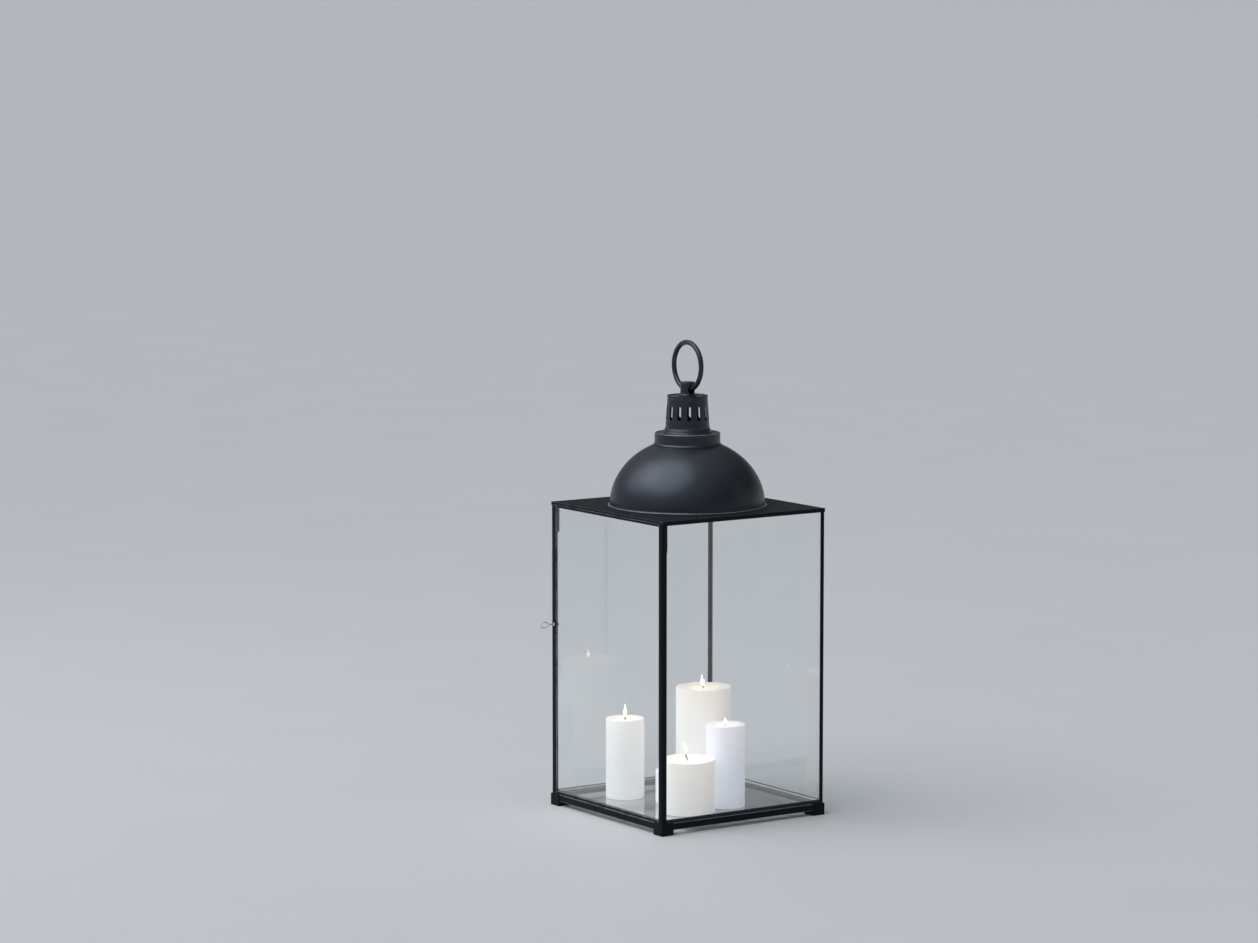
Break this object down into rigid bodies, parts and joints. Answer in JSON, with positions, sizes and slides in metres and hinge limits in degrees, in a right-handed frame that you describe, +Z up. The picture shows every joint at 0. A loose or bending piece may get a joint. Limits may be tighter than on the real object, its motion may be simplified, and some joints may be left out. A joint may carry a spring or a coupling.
{
  "type": "hurricane candle lantern",
  "caption": "Square glazed floor lantern on small feet, with a hinged glass door, a domed roof with a slotted vent cap and ring handle, and pillar candles inside.",
  "frame": {"origin": "on the ground under the middle of the glass box; the feet stand on z = 0", "axes": "+Z up, -Y towards the front pane, -X out through the door"},
  "size_m": [0.3869, 0.358, 0.858],
  "materials": {
    "coated": "matt black powder coat",
    "steel": "plain bright wire and pins",
    "glass": "clear",
    "wax": "smooth candle wax, satin",
    "wick": "charred cotton"
  },
  "bodies": {
    "frame": {"foot_front_right": "coated", "foot_back_right": "coated", "foot_back_left": "coated", "foot_front_left": "coated", "base_rail_front": "coated", "base_rail_right": "coated", "base_rail_back": "coated", "base_rail_left": "coated", "sill_front": "coated", "sill_right": "coated", "sill_back": "coated", "door_sill": "coated", "post_front_right": "coated", "post_back_right": "coated", "post_back_left": "coated", "post_front_left": "coated", "bracket_front_left": "coated", "bracket_back_left": "coated", "rim_front": "coated", "rim_right": "coated", "rim_back": "coated", "rim_left": "coated", "roof_plate": "coated", "dome": "coated", "collar": "coated", "vent_cap": "coated", "cap_lid": "coated", "boss": "coated", "pivot_pin_lower": "steel", "pivot_pin_upper": "steel", "floor_pane": "glass", "pane_front": "glass", "pane_right": "glass", "pane_back": "glass"},
    "door": {"door_hinge_stile": "coated", "door_catch_stile": "coated", "door_top_rail": "coated", "door_bottom_rail": "coated", "door_pane": "glass", "catch_plate": "coated"},
    "catch": {"catch_loop": "steel", "catch_tongue": "steel"},
    "ring": {"ring_handle": "coated"},
    "candle_left_slim": {"candle_left_slim": "wax", "wick_left_slim": "wick"},
    "candle_tall": {"candle_tall": "wax", "wick_tall": "wick"},
    "candle_low": {"candle_low": "wax", "wick_low": "wick"},
    "candle_right_slim": {"candle_right_slim": "wax", "wick_right_slim": "wick"},
    "candle_stub": {"candle_stub": "wax", "wick_stub": "wick"}
  },
  "joints": [
    {"name": "door_hinge", "type": "hinge", "parent": "frame", "child": "door", "pos_m": [-0.1743, -0.1724, 0.288], "axis": [0, 0, 1], "range_deg": [0, 90]},
    {"name": "catch_turn", "type": "hinge", "parent": "door", "child": "catch", "pos_m": [-0.1743, 0.1676, 0.335], "axis": [1, 0, 0], "range_deg": [0, 90]},
    {"name": "ring_swing", "type": "hinge", "parent": "frame", "child": "ring", "pos_m": [0, 0, 0.7685], "axis": [0, 1, 0], "range_deg": [-85, 85]},
    {"name": "left_slim_lift", "type": "slide", "parent": "frame", "child": "candle_left_slim", "axis": [0, 0, 1], "range_m": [0, 0.04]},
    {"name": "tall_lift", "type": "slide", "parent": "frame", "child": "candle_tall", "axis": [0, 0, 1], "range_m": [0, 0.04]},
    {"name": "low_lift", "type": "slide", "parent": "frame", "child": "candle_low", "axis": [0, 0, 1], "range_m": [0, 0.04]},
    {"name": "right_slim_lift", "type": "slide", "parent": "frame", "child": "candle_right_slim", "axis": [0, 0, 1], "range_m": [0, 0.04]},
    {"name": "stub_lift", "type": "slide", "parent": "frame", "child": "candle_stub", "axis": [0, 0, 1], "range_m": [0, 0.04]}
  ]
}
